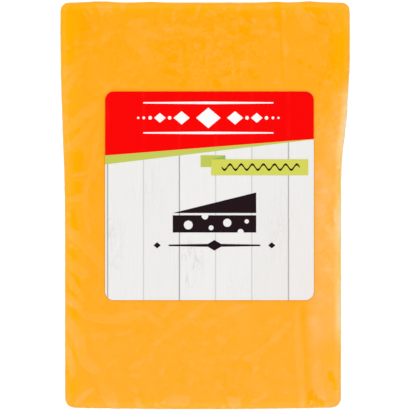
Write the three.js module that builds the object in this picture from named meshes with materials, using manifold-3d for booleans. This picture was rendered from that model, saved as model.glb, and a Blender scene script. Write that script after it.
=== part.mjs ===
// A block of red cheddar shrunk tight in clear film, lying on its back, with a square paper
// label on its upper face. Millimetres: +X is the label's right, +Y its head, +Z is up, and the
// origin is the middle of the outline on the surface that the block rests on.
import * as THREE from 'three';
import { mergeVertices } from 'three/addons/utils/BufferGeometryUtils.js';
import Module from 'manifold-3d';

// The block, film included. It is a little wider at its head than at its foot.
const THICKNESS = 30;
const HEAD_Y = 72.8;
const FOOT_Y = -73.2;
const HEAD_LEFT = -52.2;
const HEAD_RIGHT = 52.2;
const FOOT_LEFT = -50.4;
const FOOT_RIGHT = 48.9;

// How the long sides run from the head's width to the foot's, each as a stretch along Y.
const LEFT_TAPER = { from: 62, to: -8, step: 1 };
const RIGHT_SHOULDER = { from: 54, to: 31, step: 0.38 };
const RIGHT_WAIST = { from: 36, to: 10, step: 0.62 };

// Low pleats of film that stand up along the head, and the foot's slight belly.
const HEAD_PLEATS = [
  { x: -37.8, height: 0.4, spread: 5 },
  { x: -19.8, height: 0.26, spread: 4 },
  { x: 25.2, height: 0.3, spread: 3.2 },
  { x: 37.5, height: 0.4, spread: 4.4 },
];
const PLEAT_REACH = 14;
const FOOT_BELLY = { x: -2, rise: 0.5, halfWidth: 45 };

// Round edges and corners. The corners' radii are in plan, and the pillow is how far each large
// face falls away towards its edges, so that the middle of both faces is flat.
const EDGE_RADIUS = 2.5;
const CORNER_RADII = { headLeft: 3.4, headRight: 3.4, footLeft: 3.8, footRight: 4 };
const PILLOW = { drop: 0.45, width: 8.5 };

// The film's flat end seals, each folded down onto its end face over two tucked corners.
const SEAL = { halfLength: 43, halfHeight: 3.4, middleZ: 12.4, proud: 0.3, taper: 5 };
const TUCK = { outerX: 45.5, innerX: 32, halfHeight: 10, tip: 0.6, middleZ: 15, proud: 0.16 };
const PATCH_ROOT = 0.8;

const LABEL = { side: 75, radius: 3.1, thickness: 0.2, x: 1.6, y: 3.4 };

const CHEDDAR_ORANGE = 0xfdae28;
const LABEL_WHITE = 0xefedeb;

// The grid that the block is drawn on: steps round each edge, out to the widest corner, between.
const EDGE_STEPS = 3;
const CORNER_STEPS = 2;
const STEPS_ACROSS = 22;
const STEPS_ALONG = 28;
const STEPS_UP = 4;
const LARGEST_CORNER = Math.max(...Object.values(CORNER_RADII));

const wasm = await Module();
wasm.setup();

/** Goes smoothly from 0 at one place to 1 at another, whichever is larger. */
function ease(value, from, to) {
  const share = THREE.MathUtils.clamp((value - from) / (to - from), 0, 1);
  return share * share * (3 - 2 * share);
}

function leftSide(y) {
  return HEAD_LEFT + (FOOT_LEFT - HEAD_LEFT) * ease(y, LEFT_TAPER.from, LEFT_TAPER.to);
}

function rightSide(y) {
  const narrowing = [RIGHT_SHOULDER, RIGHT_WAIST].reduce(
    (sum, part) => sum + part.step * ease(y, part.from, part.to),
    0,
  );
  return HEAD_RIGHT + (FOOT_RIGHT - HEAD_RIGHT) * narrowing;
}

/** The head's or the foot's line at a place across the block. */
function endLine(end, x) {
  if (end > 0) {
    return HEAD_PLEATS.reduce(
      (y, pleat) => y + pleat.height * Math.exp(-(((x - pleat.x) / pleat.spread) ** 2)),
      HEAD_Y,
    );
  }
  return FOOT_Y + FOOT_BELLY.rise * ((x - FOOT_BELLY.x) / FOOT_BELLY.halfWidth) ** 2;
}

function cornerRadius(x, y) {
  if (y > 0) {
    return x < 0 ? CORNER_RADII.headLeft : CORNER_RADII.headRight;
  }
  return x < 0 ? CORNER_RADII.footLeft : CORNER_RADII.footRight;
}

/** Where the grid lines lie across a span, from one edge to the other. */
function gridLines(half, inner, stepsBetween, cornerSteps) {
  const towardsEdge = [];
  for (let i = 1; i <= cornerSteps; i++) {
    towardsEdge.push(inner + ((half - EDGE_RADIUS - inner) * i) / cornerSteps);
  }
  for (let i = 1; i <= EDGE_STEPS; i++) {
    const angle = ((i / EDGE_STEPS) * Math.PI) / 4;
    towardsEdge.push(half - EDGE_RADIUS + EDGE_RADIUS * Math.tan(angle));
  }
  const between = [];
  for (let i = 0; i <= stepsBetween; i++) {
    between.push(inner * ((2 * i) / stepsBetween - 1));
  }
  return [...towardsEdge.map((line) => -line).reverse(), ...between, ...towardsEdge];
}

/** Rounds the long edges: a point's distance in from the outline, and its height from the middle. */
function roundEdge(inset, height, halfThickness) {
  const out = EDGE_RADIUS - inset;
  const up = Math.abs(height) - (halfThickness - EDGE_RADIUS);
  if (out <= 0 || up <= 0) {
    return { inset, height };
  }
  const scale = EDGE_RADIUS / Math.hypot(out, up);
  const risen = halfThickness - EDGE_RADIUS + up * scale;
  return { inset: EDGE_RADIUS - out * scale, height: Math.sign(height) * risen };
}

/** Moves a point of a sharp rectangle's plan onto the plan with round corners. */
function roundCorner(x, y, half, shift) {
  const radius = cornerRadius(x, y);
  const across = Math.abs(x) - (half.x - radius);
  const along = Math.abs(y) - (half.y - radius);
  if (across <= 0 || along <= 0) {
    return half.x - Math.abs(x) <= half.y - Math.abs(y)
      ? [x - Math.sign(x) * shift, y]
      : [x, y - Math.sign(y) * shift];
  }
  const reach = Math.max(across, along);
  const scale = (reach - shift) / Math.hypot(across, along);
  return [
    Math.sign(x) * (half.x - radius + across * scale),
    Math.sign(y) * (half.y - radius + along * scale),
  ];
}

/** Fits a point of the plain block to the real outline. */
function fitOutline(x, y, half) {
  const left = leftSide(y);
  const right = rightSide(y);
  const fittedX = (left + right) / 2 + (x / half.x) * ((right - left) / 2);
  const end = Math.sign(y) || 1;
  const nearEnd = ease(Math.abs(y), half.y - PLEAT_REACH, half.y);
  const fittedY = y + (endLine(end, fittedX) - end * half.y) * nearEnd;
  return [fittedX, fittedY];
}

function blockGeometry() {
  const half = {
    x: (HEAD_RIGHT - FOOT_LEFT) / 2,
    y: (HEAD_Y - FOOT_Y) / 2,
    z: THICKNESS / 2,
  };
  const lines = [
    gridLines(half.x, half.x - LARGEST_CORNER, STEPS_ACROSS, CORNER_STEPS),
    gridLines(half.y, half.y - LARGEST_CORNER, STEPS_ALONG, CORNER_STEPS),
    gridLines(half.z, half.z - EDGE_RADIUS, STEPS_UP, 0),
  ];
  const box = new THREE.BoxGeometry(2, 2, 2, ...lines.map((axis) => axis.length - 1));
  const place = box.attributes.position;
  for (let i = 0; i < place.count; i++) {
    const [x, y, z] = lines.map((axis, k) => {
      const step = Math.round(((place.getComponent(i, k) + 1) / 2) * (axis.length - 1));
      return axis[step];
    });
    const inset = Math.min(half.x - Math.abs(x), half.y - Math.abs(y));
    const edge = roundEdge(inset, z, half.z);
    const plan = roundCorner(x, y, half, edge.inset - inset);
    const fall = PILLOW.drop * ease(edge.inset, PILLOW.width, 0);
    const height = Math.sign(z) * Math.max(Math.abs(edge.height) - fall, 0);
    place.setXYZ(i, ...fitOutline(...plan, half), half.z + height);
  }
  return box;
}

/** A low patch of film on an end face: its half height changes along its length. */
function endPatch(end, fromX, toX, steps, middleZ, proud, halfHeight) {
  const patch = new THREE.BoxGeometry(2, 2, 2, steps, 1, 1);
  const place = patch.attributes.position;
  for (let i = 0; i < place.count; i++) {
    const x = THREE.MathUtils.mapLinear(place.getX(i), -1, 1, fromX, toX);
    const isOuter = place.getY(i) * end > 0;
    const y = endLine(end, x) + end * (isOuter ? proud : -PATCH_ROOT);
    place.setXYZ(i, x, y, middleZ + place.getZ(i) * halfHeight(x));
  }
  return patch;
}

function endSeal(end) {
  return endPatch(end, -SEAL.halfLength, SEAL.halfLength, 26, SEAL.middleZ, SEAL.proud, (x) => {
    const toTip = SEAL.halfLength - Math.abs(x);
    return SEAL.halfHeight * (0.45 + 0.55 * ease(toTip, 0, SEAL.taper));
  });
}

function endTuck(end, side) {
  const [fromX, toX] = [side * TUCK.innerX, side * TUCK.outerX].sort((a, b) => a - b);
  return endPatch(end, fromX, toX, 6, TUCK.middleZ, TUCK.proud, (x) => {
    const share = (Math.abs(x) - TUCK.innerX) / (TUCK.outerX - TUCK.innerX);
    return THREE.MathUtils.lerp(TUCK.tip, TUCK.halfHeight, share);
  });
}

function toSolid(geometry) {
  geometry.deleteAttribute('normal');
  geometry.deleteAttribute('uv');
  const merged = mergeVertices(geometry);
  return new wasm.Manifold(
    new wasm.Mesh({
      numProp: 3,
      vertProperties: merged.attributes.position.array,
      triVerts: new Uint32Array(merged.index.array),
    }),
  );
}

function toGeometry(solid) {
  const { vertProperties, triVerts } = solid.getMesh();
  const geometry = new THREE.BufferGeometry();
  geometry.setAttribute('position', new THREE.BufferAttribute(vertProperties, 3));
  geometry.setIndex(new THREE.BufferAttribute(triVerts, 1));
  geometry.computeVertexNormals();
  return geometry;
}

function vacuumPack() {
  const ends = [1, -1];
  const patches = ends.flatMap((end) => [endSeal(end), endTuck(end, -1), endTuck(end, 1)]);
  const solid = patches.reduce((pack, patch) => pack.add(toSolid(patch)), toSolid(blockGeometry()));
  const film = new THREE.MeshStandardMaterial({
    color: CHEDDAR_ORANGE,
    roughness: 0.25,
    metalness: 0,
  });
  const mesh = new THREE.Mesh(toGeometry(solid), film);
  mesh.name = 'vacuum_pack';
  return mesh;
}

function label() {
  const half = LABEL.side / 2;
  const inner = half - LABEL.radius;
  const outline = new THREE.Shape();
  outline.moveTo(half, -inner);
  outline.absarc(inner, inner, LABEL.radius, 0, Math.PI / 2);
  outline.absarc(-inner, inner, LABEL.radius, Math.PI / 2, Math.PI);
  outline.absarc(-inner, -inner, LABEL.radius, Math.PI, 1.5 * Math.PI);
  outline.absarc(inner, -inner, LABEL.radius, 1.5 * Math.PI, 2 * Math.PI);
  const sheet = new THREE.ExtrudeGeometry(outline, {
    depth: LABEL.thickness,
    bevelEnabled: false,
    curveSegments: 8,
  });
  const paper = new THREE.MeshStandardMaterial({
    color: LABEL_WHITE,
    roughness: 0.45,
    metalness: 0,
  });
  const mesh = new THREE.Mesh(sheet, paper);
  mesh.name = 'label';
  mesh.position.set(LABEL.x, LABEL.y, THICKNESS);
  return mesh;
}

const cheddarBlock = new THREE.Group();
cheddarBlock.add(vacuumPack(), label());

export default cheddarBlock;
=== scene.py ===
"""The looks of a block of red cheddar shrunk tight in clear film, with a square paper label.

The block lies on its back with the label up, +Y towards the label's head, and the camera looks
straight down on it. Sizes in the classes are millimetres, and become metres where a mesh is made.
"""
import logging
import math
from collections.abc import Iterable, Sequence
from dataclasses import dataclass, field
from enum import Enum
from functools import partial, reduce

import bpy
import numpy as np
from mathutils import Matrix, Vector


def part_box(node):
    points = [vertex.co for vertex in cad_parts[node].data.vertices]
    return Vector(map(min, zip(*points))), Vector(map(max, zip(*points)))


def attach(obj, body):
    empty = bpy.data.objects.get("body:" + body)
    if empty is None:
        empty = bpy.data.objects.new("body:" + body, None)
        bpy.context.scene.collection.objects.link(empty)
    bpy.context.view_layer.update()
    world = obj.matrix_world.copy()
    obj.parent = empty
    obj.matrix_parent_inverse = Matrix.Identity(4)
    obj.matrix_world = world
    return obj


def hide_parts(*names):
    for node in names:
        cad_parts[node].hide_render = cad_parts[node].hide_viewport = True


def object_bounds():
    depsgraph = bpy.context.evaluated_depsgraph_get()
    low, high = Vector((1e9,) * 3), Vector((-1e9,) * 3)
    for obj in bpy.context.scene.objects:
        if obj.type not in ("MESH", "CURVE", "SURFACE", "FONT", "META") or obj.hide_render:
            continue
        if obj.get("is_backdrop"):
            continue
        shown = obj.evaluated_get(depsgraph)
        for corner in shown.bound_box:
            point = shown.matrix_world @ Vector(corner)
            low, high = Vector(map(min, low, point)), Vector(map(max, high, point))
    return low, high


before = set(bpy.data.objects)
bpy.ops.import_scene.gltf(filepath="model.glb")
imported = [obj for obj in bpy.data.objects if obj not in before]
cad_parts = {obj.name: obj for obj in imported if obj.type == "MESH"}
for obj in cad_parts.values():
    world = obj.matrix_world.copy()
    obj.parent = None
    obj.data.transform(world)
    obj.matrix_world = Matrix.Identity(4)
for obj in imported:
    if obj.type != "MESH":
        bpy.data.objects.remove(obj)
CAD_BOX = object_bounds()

MM = 0.001
BODY = "root"
PACK_NODE = "vacuum_pack"
LABEL_NODE = "label"
log = logging.getLogger("cheddar_block")

Points = np.ndarray
Weights = np.ndarray
Pair = tuple[float, float]
Triple = tuple[float, float, float]
Colour = Triple
Rows = tuple[tuple[float, ...], ...]
Socket = bpy.types.NodeSocket
Value = float | Colour | Socket


class Slot(Enum):
    """The record's material slots."""

    CHEDDAR = "cheddar"
    CLEAR_FILM = "clear_film"
    LABEL_PAPER = "label_paper"
    PRINT_RED = "print_red"
    PRINT_GREEN = "print_green"
    PRINT_WHITE = "print_white"
    PRINT_DARK = "print_dark"


class Pick(Enum):
    """What edit mode selects."""

    POINTS = "VERT"
    EDGES = "EDGE"


class Face(Enum):
    """The faces of the pack: the number of the axis that each one looks along, and which way."""

    FRONT = (2, 1)
    BACK = (2, -1)
    RIGHT = (0, 1)
    LEFT = (0, -1)
    HEAD = (1, 1)
    FOOT = (1, -1)

    @property
    def axis(self) -> int:
        """The number of the axis that the face looks along."""
        return self.value[0]


def linear(red: float, green: float, blue: float) -> Colour:
    """Turns an sRGB colour of 0 to 255 into the linear one that a shader takes."""
    shares = (channel / 255 for channel in (red, green, blue))
    return tuple(s / 12.92 if s <= 0.04045 else ((s + 0.055) / 1.055) ** 2.4 for s in shares)


def unlit(shade: Sequence[float], light: float) -> Colour:
    """Gives the linear colour that looks like an sRGB shade under a light of this strength."""
    return tuple(channel / light for channel in linear(*shade))


def ease(values: Points, start: float, end: float) -> Weights:
    """Goes smoothly from 0 where the values are at start to 1 where they are at end."""
    share = np.clip((values - start) / (end - start), 0, 1)
    return share * share * (3 - 2 * share)


def bell(values: Points, middle: float, half: float) -> Weights:
    """Gives the height of a bell curve that is 1 in its middle."""
    return np.exp(-(((values - middle) / half) ** 2))


def mirrored(rows: Rows) -> Rows:
    """Adds to each row its mirror image, with its first number turned round, unless that is 0."""
    return tuple((way * row[0], *row[1:]) for row in rows for way in (1, -1) if row[0] or way > 0)


class Workpiece:
    """A mesh on the bench: edit mode and modifiers shape it, with its place in its mesh."""

    LEAST_WEIGHT = 0.002
    SHARP = 60
    STRAIGHT = 0.9

    def __init__(self, name: str) -> None:
        """Takes the object that an operator has just added, and fixes its place in its mesh.

        Args:
            name: The piece's name.
        """
        self.body = bpy.context.object
        self.body.name = name
        self.body.data.name = name
        bpy.ops.object.transform_apply(location=True, rotation=True, scale=True)

    @classmethod
    def solid(cls, name: str, size: Sequence[float], centre: Sequence[float], sides: int = 0) -> "Workpiece":
        """Starts from a cube, or from an upright prism with a corner on its +Y side.

        Args:
            name: The piece's name.
            size: Its three sizes in millimetres.
            centre: Its middle in millimetres.
            sides: How many sides the prism has, or 0 for a cube.

        Returns:
            The new workpiece.
        """
        bpy.ops.object.select_all(action="DESELECT")
        place = [c * MM for c in centre]
        if sides:
            bpy.ops.mesh.primitive_cylinder_add(vertices=sides, radius=0.5, depth=1, location=place)
        else:
            bpy.ops.mesh.primitive_cube_add(size=1, location=place)
        bpy.context.object.scale = [s * MM for s in size]
        return cls(name)

    def copy(self, name: str) -> "Workpiece":
        """Copies the piece with a mesh of its own.

        Args:
            name: The copy's name.

        Returns:
            The copy.
        """
        self.activate()
        bpy.ops.object.duplicate(linked=False)
        return Workpiece(name)

    def carve(self, tool: "Workpiece") -> None:
        """Takes another piece's body away from this one, and drops that piece."""
        self.finish_with("BOOLEAN", operation="DIFFERENCE", solver="EXACT", object=tool.body)
        bpy.data.objects.remove(tool.body)

    def activate(self) -> None:
        """Makes this the one selected and active object."""
        bpy.ops.object.select_all(action="DESELECT")
        self.body.select_set(True)
        bpy.context.view_layer.objects.active = self.body

    def points(self) -> Points:
        """Reads the mesh's points.

        Returns:
            Their places in millimetres, one row each.
        """
        flat = np.zeros(len(self.body.data.vertices) * 3, np.float32)
        self.body.data.vertices.foreach_get("co", flat)
        return flat.reshape(-1, 3).astype(float) / MM

    def edge_ends(self) -> tuple[Points, Points]:
        """Reads the mesh's edges.

        Returns:
            The places of their first and of their second ends in millimetres, one row each.
        """
        ends = np.zeros(len(self.body.data.edges) * 2, np.int32)
        self.body.data.edges.foreach_get("vertices", ends)
        points = self.points()
        return points[ends[0::2]], points[ends[1::2]]

    def select(self, pick: Pick, chosen: Weights) -> None:
        """Leaves only the chosen points or edges selected, in edit mode.

        Args:
            pick: What is chosen.
            chosen: True for each that is selected.
        """
        self.activate()
        bpy.ops.object.mode_set(mode="EDIT")
        bpy.ops.mesh.select_mode(type=pick.value)
        bpy.ops.mesh.select_all(action="DESELECT")
        bpy.ops.object.mode_set(mode="OBJECT")
        parts = self.body.data.vertices if pick is Pick.POINTS else self.body.data.edges
        parts.foreach_set("select", np.asarray(chosen, bool))
        bpy.ops.object.mode_set(mode="EDIT")

    def close(self) -> None:
        """Leaves edit mode."""
        bpy.ops.object.mode_set(mode="OBJECT")

    def shift(self, chosen: Weights, by: Sequence[float]) -> None:
        """Moves some of the points.

        Args:
            chosen: True for each point that moves.
            by: The move along each axis in millimetres.
        """
        if np.any(chosen):
            self.select(Pick.POINTS, chosen)
            bpy.ops.transform.translate(value=[b * MM for b in by])
            self.close()

    def round_edges(self, radius: float, steps: int, chosen: Weights | None = None) -> None:
        """Bevels edges round.

        Args:
            radius: The radius in millimetres.
            steps: How many faces go round it.
            chosen: True for each edge that is rounded, or None for all sharp ones.
        """
        self.select(Pick.EDGES, np.zeros(len(self.body.data.edges)) if chosen is None else chosen)
        if chosen is None:
            bpy.ops.mesh.edges_select_sharp(sharpness=math.radians(self.SHARP))
        bpy.ops.mesh.bevel(offset=radius * MM, segments=steps, affect="EDGES", profile=0.5)
        self.close()

    def split_edges(self, axis: int, cuts: int) -> None:
        """Cuts all edges along one axis into shorter ones.

        Args:
            axis: The axis that they run along.
            cuts: How many cuts each one gets.
        """
        a, b = self.edge_ends()
        along = np.abs(a - b)
        self.select(Pick.EDGES, along[:, axis] > self.STRAIGHT * along.sum(1))
        bpy.ops.mesh.subdivide(number_cuts=cuts)
        self.close()

    def cut(self, through: Sequence[float], normal: Sequence[float], keep_below: bool | None = None) -> None:
        """Cuts all the way through the piece with a plane.

        Args:
            through: A point on the plane in millimetres.
            normal: The plane's normal.
            keep_below: True drops what lies on the normal's side, False the other side, None neither.
        """
        self.activate()
        bpy.ops.object.mode_set(mode="EDIT")
        bpy.ops.mesh.select_all(action="SELECT")
        bpy.ops.mesh.bisect(
            plane_co=[t * MM for t in through],
            plane_no=Vector(normal).normalized(),
            use_fill=keep_below is not None,
            clear_outer=keep_below is True,
            clear_inner=keep_below is False,
        )
        self.close()

    def finish_with(self, kind: str, **settings: object) -> None:
        """Adds a modifier and applies it.

        Args:
            kind: The modifier's type.
            settings: Its settings by name.
        """
        self.activate()
        modifier = self.body.modifiers.new(kind.lower(), kind)
        for name, value in settings.items():
            setattr(modifier, name, value)
        bpy.ops.object.modifier_apply(modifier=modifier.name)

    def push(self, amount: float, weights: Weights | None = None, direction: str = "NORMAL") -> None:
        """Moves the surface by an amount in millimetres times a weight at each point.

        Args:
            amount: The full move in millimetres.
            weights: The share of the amount for each point, from 0 to 1, or None for all of it.
            direction: NORMAL, X, Y or Z.
        """
        settings = {"strength": amount * MM, "mid_level": 0, "direction": direction}
        if weights is not None:
            group = self.body.vertex_groups.new(name="push")
            for index in np.flatnonzero(weights > self.LEAST_WEIGHT):
                group.add([int(index)], float(weights[index]), "REPLACE")
            settings["vertex_group"] = "push"
        self.finish_with("DISPLACE", **settings)
        self.body.vertex_groups.clear()

    def note(self, name: str, values: Weights) -> None:
        """Stores a number at every point for a material to read."""
        attribute = self.body.data.attributes.new(name, "FLOAT", "POINT")
        attribute.data.foreach_set("value", np.asarray(values, np.float32))

    def take_in(self, others: Iterable["Workpiece"]) -> None:
        """Joins other pieces into this one.

        Args:
            others: The pieces, which are used up.
        """
        self.activate()
        for other in others:
            other.body.select_set(True)
        bpy.ops.object.join()

    def hand_over(
        self, material: bpy.types.Material, slot: Slot, replaces: str | None = None, smooth_below: float = 180
    ) -> None:
        """Shades and dresses the finished piece, puts it on the frame and reports it.

        Args:
            material: Its material.
            slot: The record's slot for its finish.
            replaces: The CAD node that it stands for, if any.
            smooth_below: The angle in degrees below which its faces are shaded as one.
        """
        self.activate()
        bpy.ops.object.shade_smooth_by_angle(angle=math.radians(smooth_below))
        self.body.data.materials.clear()
        self.body.data.materials.append(material)
        if replaces:
            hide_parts(replaces)
        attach(self.body, BODY)
        self.body.data.calc_loop_triangles()
        log.info("%s: %d triangles, slot %s", self.body.name, len(self.body.data.loop_triangles), slot.value)


class Bench:
    """A node tree, with short calls that add nodes and join them up."""

    def __init__(self, tree: bpy.types.NodeTree) -> None:
        """Takes the tree."""
        self.tree = tree

    def node(self, kind: str, inputs: dict | None = None, **settings: object) -> bpy.types.Node:
        """Adds a node.

        Args:
            kind: The node's type.
            inputs: For each input, by name or number, a value or the output that feeds it.
            settings: The node's own settings by name.

        Returns:
            The new node.
        """
        made = self.tree.nodes.new(kind)
        for name, value in settings.items():
            setattr(made, name, value)
        for key, value in (inputs or {}).items():
            socket = made.inputs[key]
            if isinstance(value, Socket):
                self.tree.links.new(value, socket)
            elif socket.type == "RGBA" and isinstance(value, tuple):
                socket.default_value = (*value, 1)
            else:
                socket.default_value = value
        return made

    def ramp(self, value: Value, stops: Sequence[tuple[float, Colour]]) -> Socket:
        """Colours a value.

        Args:
            value: The value, from 0 to 1.
            stops: Positions in rising order, each with its linear colour.

        Returns:
            The colour.
        """
        made = self.node("ShaderNodeValToRGB", {0: value})
        elements = made.color_ramp.elements
        while len(elements) < len(stops):
            elements.new(0.5)
        for element, (position, colour) in zip(elements, stops):
            element.position = position
            element.color = (*colour, 1)
        return made.outputs[0]


class Recipe(Bench):
    """A material's node tree, with short calls for what the finishes share."""

    def __init__(self, name: str) -> None:
        """Starts an empty material, and reads the place in millimetres.

        Args:
            name: The material's name.
        """
        self.material = bpy.data.materials.new(name)
        self.material.use_nodes = True
        super().__init__(self.material.node_tree)
        self.tree.nodes.clear()
        self.out = self.node("ShaderNodeOutputMaterial")
        place = self.node("ShaderNodeTexCoord").outputs["Object"]
        scaled = self.node("ShaderNodeVectorMath", {0: place, "Scale": 1 / MM}, operation="SCALE")
        self.place = scaled.outputs[0]
        self.x, self.y, self.z = self.node("ShaderNodeSeparateXYZ", {0: self.place}).outputs

    def squeezed(self, x: float, y: float, z: float) -> Socket:
        """Gives the place with each axis multiplied, so that a noise is stretched."""
        inputs = {0: self.place, 1: (x, y, z)}
        return self.node("ShaderNodeVectorMath", inputs, operation="MULTIPLY").outputs[0]

    def noise(
        self,
        grain: float,
        detail: float = 2,
        roughness: float = 0.5,
        distortion: float = 0,
        place: Socket | None = None,
    ) -> Socket:
        """Gives a noise of 0 to 1.

        Args:
            grain: The size of its grains in millimetres.
            detail: How many finer layers it has.
            roughness: How strong the finer layers are.
            distortion: How far it is warped.
            place: Where it is read, or None for the plain place.

        Returns:
            The noise's value.
        """
        inputs = {"Vector": place or self.place, "Scale": 1 / grain, "Detail": detail}
        inputs |= {"Roughness": roughness, "Distortion": distortion}
        return self.node("ShaderNodeTexNoise", inputs).outputs["Fac"]

    def maths(self, operation: str, first: Value, second: Value = 0.0) -> Socket:
        """Joins two values by a Math node's operation."""
        return self.node("ShaderNodeMath", {0: first, 1: second}, operation=operation).outputs[0]

    def band(self, value: Value, low: float, high: float, bottom: float = 0, top: float = 1) -> Socket:
        """Eases a value between two limits.

        Args:
            value: The value to rate.
            low: Where the result starts to leave bottom.
            high: Where it reaches top.
            bottom: The result at and before low.
            top: The result at and after high.

        Returns:
            The eased value.
        """
        inputs = {"Value": value, "From Min": low, "From Max": high, "To Min": bottom, "To Max": top}
        return self.node("ShaderNodeMapRange", inputs, interpolation_type="SMOOTHSTEP").outputs[0]

    def total(self, *values: Value) -> Socket:
        """Adds values up."""
        return reduce(partial(self.maths, "ADD"), values)

    def product(self, *values: Value) -> Socket:
        """Multiplies values."""
        return reduce(partial(self.maths, "MULTIPLY"), values)

    def spread(self, value: Value, width: float) -> Socket:
        """Centres a value of 0 to 1 on 0 and widens it."""
        return self.maths("MULTIPLY", self.maths("SUBTRACT", value, 0.5), width)

    def away(self, value: Value, middle: float = 0.0) -> Socket:
        """Gives how far a value lies from a middle."""
        return self.maths("ABSOLUTE", self.maths("SUBTRACT", value, middle))

    def mixed(self, share: Value, first: Value, second: Value) -> Socket:
        """Mixes two values by a share of the second."""
        return self.total(first, self.maths("MULTIPLY", share, self.maths("SUBTRACT", second, first)))

    def blend(self, share: Value, first: Value, second: Value, mode: str = "MIX") -> Socket:
        """Mixes two colours by a share of the second."""
        inputs = {0: share, 6: first, 7: second}
        return self.node("ShaderNodeMix", inputs, data_type="RGBA", blend_type=mode).outputs[2]

    def tinted(self, colour: Value, factor: Value) -> Socket:
        """Multiplies a colour by a factor."""
        grey = self.node("ShaderNodeCombineXYZ", {0: factor, 1: factor, 2: factor}).outputs[0]
        return self.blend(1.0, colour, grey, "MULTIPLY")

    def noted(self, name: str) -> Socket:
        """Reads a number that the mesh stores at its points."""
        return self.node("ShaderNodeAttribute", attribute_name=name).outputs["Fac"]

    def bump(self, height: Value, depth: float) -> Socket:
        """Turns a height of 0 to 1 into a normal, with the full height in millimetres."""
        inputs = {"Height": height, "Distance": depth * MM, "Strength": 1}
        return self.node("ShaderNodeBump", inputs).outputs[0]

    def surface(self, shader: bpy.types.Node) -> bpy.types.Material:
        """Ends the recipe with its shader."""
        self.tree.links.new(shader.outputs[0], self.out.inputs["Surface"])
        return self.material

    def paint(self, colour: Value, roughness: float, specular: float, **more: Value) -> bpy.types.Material:
        """Ends the recipe with one opaque finish.

        Args:
            colour: The base colour.
            roughness: How dull it is.
            specular: The level of its gloss.
            more: Other inputs by their names in small letters, with an underscore for each space.

        Returns:
            The material.
        """
        inputs = {"Base Color": colour, "Roughness": roughness, "Specular IOR Level": specular}
        inputs |= {name.replace("_", " ").title(): value for name, value in more.items()}
        return self.surface(self.node("ShaderNodeBsdfPrincipled", inputs))


@dataclass(frozen=True)
class Stroke:
    """A curved mark on one face of the pack, in millimetres of the two axes that the face spans."""

    start: Pair
    bend: Pair
    end: Pair
    width: float

    STEPS = 8
    REACH = 3.0
    WRAP = 0.3
    TIP = 0.85

    def line(self, face: Face, level: float) -> Points:
        """Lays the mark's middle line onto its face.

        Args:
            face: The face that the mark is on.
            level: The face's place along its axis.

        Returns:
            The line's points in space, one row each.
        """
        knots = [np.array(knot, float) for knot in (self.start, self.bend, self.end)]
        t = np.linspace(0, 1, self.STEPS + 1)[:, None]
        flat = (1 - t) ** 2 * knots[0] + 2 * t * (1 - t) * knots[1] + t**2 * knots[2]
        return np.insert(flat, face.axis, level, axis=1)

    def deepen(self, depth: Weights, points: Points, face: Face, level: float) -> None:
        """Raises a depth to how far inside this mark each point lies, below 0 outside it.

        The mark reaches further along the face's own axis, so that it wraps over the face's edge.

        Args:
            depth: The greatest depth so far at each point, changed in place.
            points: The points to rate.
            face: The face that the mark is on.
            level: The face's place along its axis.
        """
        line = self.line(face, level)
        reach = np.full(3, self.REACH + self.width / 2)
        reach[face.axis] /= self.WRAP
        near = np.flatnonzero(np.all((points > line.min(0) - reach) & (points < line.max(0) + reach), axis=1))
        if not len(near):
            return
        squash = np.ones(3)
        squash[face.axis] = self.WRAP
        close = points[near]
        best = np.full(len(close), -self.REACH)
        for step, (a, b) in enumerate(zip(line[:-1], line[1:])):
            along = b - a
            share = np.clip((close - a) @ along / max(along @ along, 1e-9), 0, 1)
            gap = np.linalg.norm((close - a - share[:, None] * along) * squash, axis=1)
            place = (step + share) / self.STEPS
            half = self.width / 2 * np.sqrt(1 - self.TIP * np.abs(2 * place - 1) ** 3)
            best = np.maximum(best, half - gap)
        depth[near] = np.maximum(depth[near], best)


def strokes(*rows: Sequence[float]) -> tuple[Stroke, ...]:
    """Makes strokes from rows of seven: both numbers of the start, bend and end, then the width."""
    return tuple(Stroke(row[:2], row[2:4], row[4:6], row[6]) for row in rows)


@dataclass(frozen=True)
class StrayMarks:
    """Marks that a rule draws over part of a face which no view of the real block settles."""

    face: Face
    low: Pair
    high: Pair
    count: int
    angle: float
    swing: float
    length: Pair
    width: Pair

    ASIDE = 0.35

    def draw(self, chance: np.random.Generator) -> list[Stroke]:
        """Draws the marks.

        Args:
            chance: Where the random numbers come from.

        Returns:
            The marks.
        """
        marks = []
        for _ in range(self.count):
            middle = chance.uniform(self.low, self.high)
            turn = math.radians(self.angle + chance.uniform(-self.swing, self.swing))
            half = chance.uniform(*self.length) / 2 * np.array([math.cos(turn), math.sin(turn)])
            aside = chance.uniform(-self.ASIDE, self.ASIDE) * np.array([-half[1], half[0]])
            width = chance.uniform(*self.width)
            marks.append(Stroke(tuple(middle - half), tuple(middle + aside), tuple(middle + half), width))
        return marks


def side_marks(face: Face, tilt: int) -> tuple[StrayMarks, ...]:
    """Gives the marks of a long side: along both its edges, across its middle, and small ones.

    Args:
        face: The side.
        tilt: 1 or -1, the way that its marks lean.

    Returns:
        The marks' rules.
    """
    lean = 10 * tilt
    return (
        StrayMarks(face, (-66, 23), (66, 28), 20, 90 - lean, 30, (5, 12), (1, 2.8)),
        StrayMarks(face, (-66, 1), (66, 6), 20, 90 + lean, 30, (5, 12), (1, 2.8)),
        StrayMarks(face, (-58, 8), (58, 22), 9, 8 * tilt, 22, (14, 30), (2.4, 4.8)),
        StrayMarks(face, (-64, 5), (64, 25), 10, 0, 90, (1.5, 4), (1.2, 2.4)),
    )


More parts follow.
